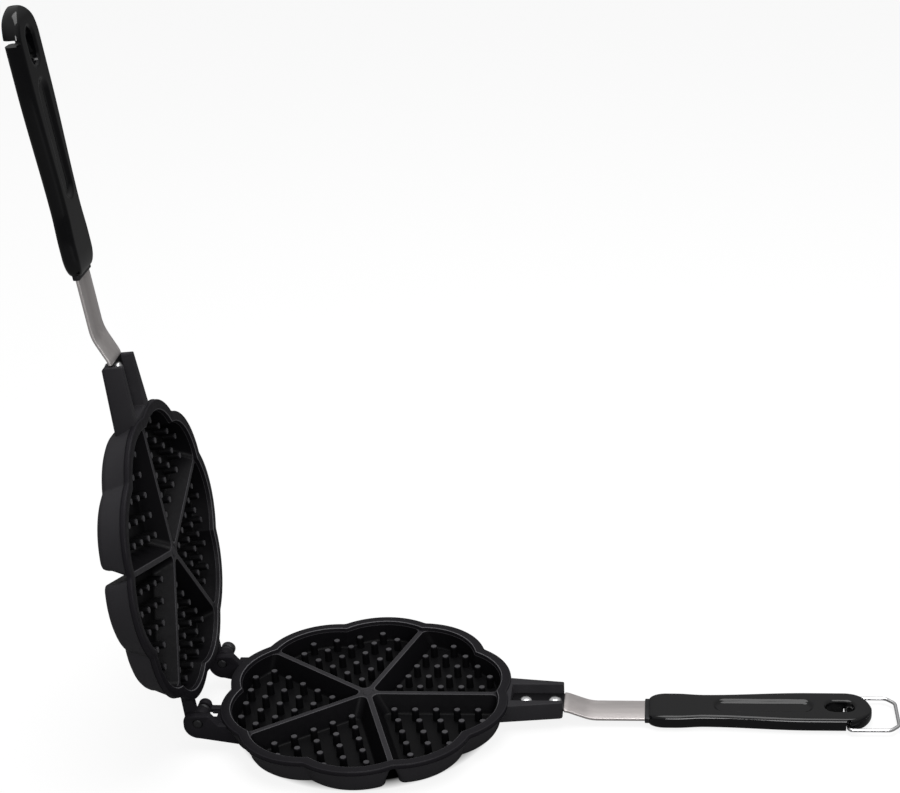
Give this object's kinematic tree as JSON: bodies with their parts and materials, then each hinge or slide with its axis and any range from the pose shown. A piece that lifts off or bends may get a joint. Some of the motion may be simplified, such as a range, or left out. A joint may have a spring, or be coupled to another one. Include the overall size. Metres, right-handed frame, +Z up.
{
  "type": "stovetop waffle iron",
  "caption": "Two-piece cast stovetop waffle iron with heart-shaped cups, side hinge, riveted handle strips, black grips and a wire lock ring.",
  "frame": {"origin": "middle of the bounding box in plan, on the surface that the lower half's flat bottom stands on, with the iron standing open as pictured", "axes": "+X from the hinge to the lower grip, +Y away from the viewer across the hearts and along the hinge pins, +Z up"},
  "size_m": [0.478, 0.1782, 0.4225],
  "materials": {
    "cast_coat": "black non-stick coating on cast aluminium, satin",
    "phenolic": "glossy black phenolic",
    "strip_steel": "plain steel strip, satin",
    "bright_steel": "bright plated steel",
    "black_steel": "blackened steel, satin"
  },
  "bodies": {
    "lower_half": {"lower_grip": "phenolic", "lower_grip_collar": "black_steel", "lower_grip_screw": "bright_steel", "lower_handle_strip": "strip_steel", "lower_plate": "cast_coat", "lower_rivet_inner": "bright_steel", "lower_rivet_outer": "bright_steel", "hinge_nut_far": "black_steel", "hinge_nut_near": "black_steel", "hinge_pin_far": "black_steel", "hinge_pin_near": "black_steel", "hinge_washer_far": "black_steel", "hinge_washer_near": "black_steel"},
    "upper_half": {"upper_grip": "phenolic", "upper_grip_collar": "black_steel", "upper_grip_screw": "bright_steel", "upper_handle_strip": "strip_steel", "upper_plate": "cast_coat", "upper_rivet_inner": "bright_steel", "upper_rivet_outer": "bright_steel"},
    "bail": {"lock_bail": "bright_steel"}
  },
  "joints": [
    {"name": "lid_hinge", "type": "hinge", "parent": "lower_half", "child": "upper_half", "pos_m": [-0.18379, 0, 0.01935], "axis": [0, 1, 0], "range_deg": [0, 95.2]},
    {"name": "bail_swing", "type": "hinge", "parent": "lower_half", "child": "bail", "pos_m": [0.20691, 0, 0.0038], "axis": [0, -1, 0], "range_deg": [0, 90]}
  ]
}
